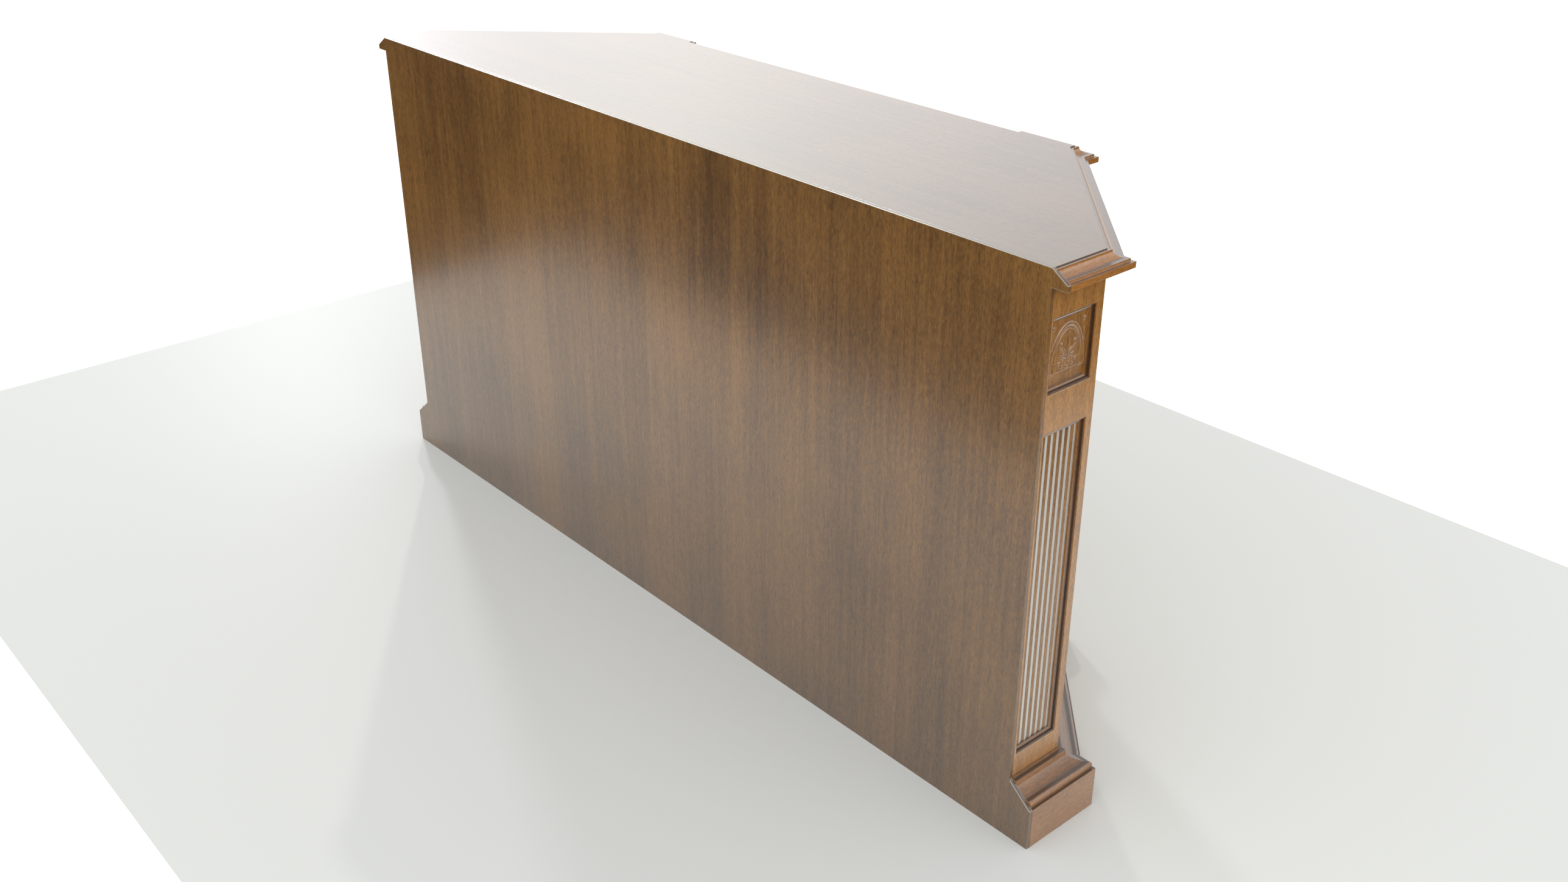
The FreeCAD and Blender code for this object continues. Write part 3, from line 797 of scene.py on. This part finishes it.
def carved_relief(x, z):
    """Height of the carving in millimetres; x from the middle, z above the arch's foot."""
    arch_foot = step_up((z + 1.0) / 2.0)
    outer = oval_distance(x, z, *arch_outer)
    inner = oval_distance(x, z, *arch_inner)
    height = arch_rise * max(0.0, 1 - (outer / arch_ridge) ** 2) ** 0.5 * arch_foot
    field = step_up(0.5 - inner / 2.2) * arch_foot
    height = max(height, field_rise * field)
    if field > 0.5:
        height = max(height, field_rise + field_relief(x, z))
    spandrel = step_up((outer - 3.0) / 1.5)
    if spandrel > 0:
        for rise, cx, cz, wide, tall in spandrel_carving:
            height = max(height, spandrel * rise * dome(abs(x), z, cx, cz, wide, tall))
    ledge = 1.8 * max(0.0, 1 - ((z + 1.5) / 2.2) ** 2) ** 0.5
    if 33.0 < abs(x) < 48.0:
        height = max(height, ledge)
    return height


def field_relief(x, z):
    """The three-budded sprig and the ground it grows from."""
    side = abs(x)
    height = 0.7 * step_up((19.5 - z) / 1.2)
    for rise, cx, cz, wide, tall, lean in sprig_domes:
        height = max(height, rise * dome(side, z, cx, cz, wide, tall, lean))
    for rise, foot, tip, wide in sprig_stems:
        height = max(height, rise * stem(side, z, foot, tip, wide))
    for cx, cz, size in berries:
        height = max(height, berry_rise * dome(side, z, cx, cz, size, size * berry_tall))
    return height


carving_pitch = 0.62 * mm
arch_foot_high = 21.0 * mm


def carved_panel(bay, tier):
    """A fine grid raised into the carving, closed behind as a board."""
    left, right, low, high = panel_limits(bay, tier)
    middle_x, middle_z = (left + right) / 2, (low + high) / 2
    bm = bmesh.new()
    bmesh.ops.create_grid(bm, x_segments=round((right - left) / carving_pitch),
                          y_segments=round((high - low) / carving_pitch), size=0.5)
    stand = Matrix.Translation((middle_x, ground_deep, middle_z)) @ Matrix.Rotation(math.radians(90), 4, "X")
    fit = Matrix.Diagonal((right - left, high - low, 1, 1))
    bmesh.ops.transform(bm, matrix=stand @ fit, verts=bm.verts[:])
    for vert in bm.verts:
        x = (vert.co.x - middle_x) / mm
        z = (vert.co.z - low - arch_foot_high) / mm
        vert.co.y -= carved_relief(x, z) * mm
    bmesh.ops.smooth_vert(bm, verts=bm.verts[:], factor=0.5, use_axis_x=False, use_axis_y=True,
                          use_axis_z=False)
    rim = [e for e in bm.edges if e.is_boundary]
    made = bmesh.ops.extrude_edge_only(bm, edges=rim)
    behind = [g for g in made["geom"] if isinstance(g, bmesh.types.BMVert)]
    for vert in behind:
        vert.co.y = panel_back
    back_rim = [e for e in made["geom"] if isinstance(e, bmesh.types.BMEdge) and e.is_boundary]
    bmesh.ops.edgeloop_fill(bm, edges=back_rim)
    return bm


field_steps = ((4.0, 0.0), (20.0, 4.4), (0.6, 2.1), (0.4, 0.0))    # inset and rise of each step, in mm


def fielded_panel(bay, tier):
    """Board with a lip, a long slope and a raised field with a small step round it."""
    left, right, low, high = panel_limits(bay, tier)
    bm = bmesh.new()
    corners = [(left, low), (right, low), (right, high), (left, high)]
    field = bm.faces.new([bm.verts.new((x, ground_deep, z)) for x, z in corners])
    rear = bmesh.ops.extrude_face_region(bm, geom=[field], use_keep_orig=True)
    moved = [g for g in rear["geom"] if isinstance(g, bmesh.types.BMVert)]
    bmesh.ops.translate(bm, verts=moved, vec=(0, panel_back - ground_deep, 0))
    bmesh.ops.recalc_face_normals(bm, faces=bm.faces[:])
    field = min(bm.faces, key=lambda f: f.calc_center_median().y)
    for inset, rise in field_steps:
        bmesh.ops.inset_region(bm, faces=[field], thickness=inset * mm, use_even_offset=True)
        bmesh.ops.translate(bm, verts=field.verts[:], vec=(0, -rise * mm, 0))
    soften(bm, fine_arris)
    return bm


def wall_panels(wall, makers):
    """makers: (name of the node, tier, function) for each kind of panel in the wall."""
    for node, tier, make in makers:
        for k, bay in enumerate(wall.bays):
            name = node + "." + tier + "." + str(k + 1)
            first = k == 0 and node not in stood_for
            stood_for.add(node)
            wood = reeded_wood if make is reeded_panel else panel_wood
            finish_piece(name, make(bay, tier), wood, [node] if first else [], place=wall.place)


stood_for = set()
side_moulding_low, side_moulding_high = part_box("right_side_pilaster_panel_mouldings")
pilaster_moulding_low, pilaster_moulding_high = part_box("right_front_pilaster_panel_mouldings")
splay_stile = 60.0 * mm
splay_long = (splay_high.x - splay_low.x) * math.sqrt(2)
centre_bays = 3
centre_long = 2 * pilaster_low.x
bay_wide = (centre_long - splay_stile * (centre_bays + 1)) / centre_bays

for hand in ("right", "left"):
    flipped = hand == "left"
    side_wall = Wall(hand + "_side_pilaster", side_high.y - side_low.y,
                     [(side_moulding_low.y - side_low.y, side_moulding_high.y - side_low.y)],
                     Vector((side_high.x, side_low.y, 0)), math.radians(90), flipped)
    front_wall = Wall(hand + "_front_pilaster", pilaster_high.x - pilaster_low.x,
                      [(pilaster_moulding_low.x - pilaster_low.x, pilaster_moulding_high.x - pilaster_low.x)],
                      Vector((pilaster_low.x, pilaster_low.y, 0)), 0.0, flipped)
    for wall in (side_wall, front_wall):
        wall_frame(wall)
        wall_mouldings(wall)
        wall_panels(wall, ((wall.name + "_carved_panel", "frieze", carved_panel),
                           (wall.name + "_reeded_panel", "tall", reeded_panel)))
    splay_wall = Wall(hand + "_splay", splay_long, [(splay_stile, splay_long - splay_stile)],
                      Vector((splay_low.x, splay_low.y, 0)), math.radians(45), flipped)
    sign = -1 if flipped else 1
    wall_frame(splay_wall, ((Vector((sign * splay_low.x, 0, 0)), Vector((-sign, 0, 0))),
                            (Vector((0, side_low.y, 0)), Vector((0, 1, 0)))))
    wall_mouldings(splay_wall)
    wall_panels(splay_wall, ((hand + "_splay_panels", "frieze", fielded_panel),
                             (hand + "_splay_panels", "tall", fielded_panel)))

centre_openings = []
for k in range(centre_bays):
    x0 = splay_stile + k * (bay_wide + splay_stile)
    centre_openings.append((x0, x0 + bay_wide))
centre_wall = Wall("centre", centre_long, centre_openings, Vector((-pilaster_low.x, centre_low.y, 0)), 0.0)
wall_frame(centre_wall)
wall_mouldings(centre_wall)
wall_panels(centre_wall, (("centre_frieze_panels", "frieze", fielded_panel),
                          ("centre_tall_panels", "tall", fielded_panel)))


# ---------------------------------------------------------------- back panel and top board
def merged_copy(node):
    """Copy of a CAD node with its triangles joined into flat faces."""
    bm = bmesh.new()
    bm.from_mesh(nodes[node].data)
    bmesh.ops.remove_doubles(bm, verts=bm.verts[:], dist=1e-6)
    bmesh.ops.dissolve_limit(bm, angle_limit=math.radians(1), verts=bm.verts[:], edges=bm.edges[:])
    return bm


hole_facet = 3 * mm


def short_edge(edge):
    """Edges of the pilot holes, which are left as drilled."""
    return edge.calc_length() < hole_facet


sheet = merged_copy("back_panel")
soften(sheet, back_arris)
# the back panel's faces that look up take darker tones: painted shade
shade_on_upward_faces = sheet.faces.layers.float.new("upward_face_shade")
for face in sheet.faces:
    face[shade_on_upward_faces] = max(0.0, face.normal.z)
finish_piece("back_panel.veneer", sheet, back_veneer, ["back_panel"], painted_shade=unshaded)
board = merged_copy("top_board")
soften(board, arris, short_edge)
finish_piece("top_board.veneer", board, top_veneer, ["top_board"], grain=Vector((1, 0, 0)),
             painted_shade=unshaded)

for node in ("bottom_board", "centre_partition", "right_partition", "left_partition", "corner_posts",
             "glue_blocks", "plinth_packers", "top_cleats", "cleat_screws"):
    nodes[node].data.materials.clear()
    nodes[node].data.materials.append(screw_steel if node == "cleat_screws" else carcass_wood)

# ---------------------------------------------------------------- floor, light and camera
floor_long = 4.816
floor_wide = 3.184
floor_middle = (0, 0.0366, -0.0002)
floor_mesh = bpy.data.meshes.new("floor")
floor_bm = bmesh.new()
bmesh.ops.create_grid(floor_bm, x_segments=1, y_segments=1, size=0.5)
floor_place = Matrix.Translation(floor_middle) @ Matrix.Diagonal((floor_long, floor_wide, 1, 1))
bmesh.ops.transform(floor_bm, matrix=floor_place, verts=floor_bm.verts[:])
floor_bm.to_mesh(floor_mesh)
floor_bm.free()
floor = bpy.data.objects.new("floor", floor_mesh)
bpy.context.scene.collection.objects.link(floor)
paint = bpy.data.materials.new("floor paint")
paint.use_nodes = True
floor_shader = paint.node_tree.nodes["Principled BSDF"]
floor_shader.inputs["Base Color"].default_value = (0.725, 0.74, 0.72, 1)
floor_shader.inputs["Roughness"].default_value = 0.36
floor_shader.inputs["Specular IOR Level"].default_value = 0.025
floor_mesh.materials.append(paint)

window_way = Vector((0.75, -0.60, 0.27))     # towards the window that the top mirrors
fill_way = Vector((-0.62, 0.70, 0.35))       # towards the fill light on the speaker's side
window_more = 1.45
fill_more = 1.1
overhead_less = 0.5
least_light = 0.02
backdrop_light = 1.5

world = bpy.data.worlds.new("studio")
bpy.context.scene.world = world
world.use_nodes = True
sky = Wiring(world.node_tree)
backdrop = world.node_tree.nodes["Background"]
direction = sky.node("ShaderNodeTexCoord").outputs["Generated"]
height = sky.node("ShaderNodeSeparateXYZ", {"Vector": direction}).outputs["Z"]


def towards(way):
    """How nearly a direction in the surroundings points this way."""
    made = sky.node("ShaderNodeVectorMath", {0: direction, 1: way}, operation="DOT_PRODUCT")
    return made.outputs["Value"]


above = sky.spread(height, -0.04, 0.04)
window_side = sky.spread(towards(window_way), 0.92, 1.0, 1.0, window_more)
overhead = sky.spread(height, 0.46, 0.68, 1.0, overhead_less)
fill_side = sky.spread(towards(fill_way), -0.2, 0.7, 0.0, fill_more)
fill_side = sky.math("MULTIPLY", fill_side, sky.spread(height, 0.22, 0.42))
fill_side = sky.math("ADD", fill_side, 1.0)
light = sky.math("MULTIPLY", sky.math("MULTIPLY", above, window_side), overhead)
light = sky.math("MULTIPLY", light, fill_side)
light = sky.math("ADD", light, least_light)
seen = sky.node("ShaderNodeLightPath").outputs["Is Camera Ray"]
strength = sky.math("MAXIMUM", light, sky.math("MULTIPLY", seen, backdrop_light))
backdrop.inputs["Color"].default_value = (1.0, 1.0, 1.0, 1)
sky.feed(backdrop.inputs["Strength"], strength)


def sun(name, travel, power, soft, color):
    """A far lamp whose light travels one way; soft is its width in degrees."""
    lamp = bpy.data.lights.new(name, "SUN")
    lamp.color = color
    lamp.energy = power
    lamp.angle = math.radians(soft)
    made = bpy.data.objects.new(name, lamp)
    made.rotation_mode = "QUATERNION"
    made.rotation_quaternion = Vector(travel).to_track_quat("-Z", "Y")
    bpy.context.scene.collection.objects.link(made)


sun("key light", (-0.672, 0.482, -0.562), 0.42, 1.5, (1.0, 0.98, 0.86))
sun("second light", (-0.838, 0.345, -0.423), 0.58, 5.0, (0.92, 0.94, 1.0))

camera_down = 27.242
camera_turn = -131.314
camera_data = bpy.data.cameras.new("camera")
camera_data.lens = 35.0
camera = bpy.data.objects.new("camera", camera_data)
camera.location = (-2.6353, 2.2296, 2.1212)
camera.rotation_euler = (math.radians(90 - camera_down), 0, math.radians(camera_turn))
bpy.context.scene.collection.objects.link(camera)
bpy.context.scene.camera = camera
bpy.context.scene.view_settings.view_transform = "Standard"
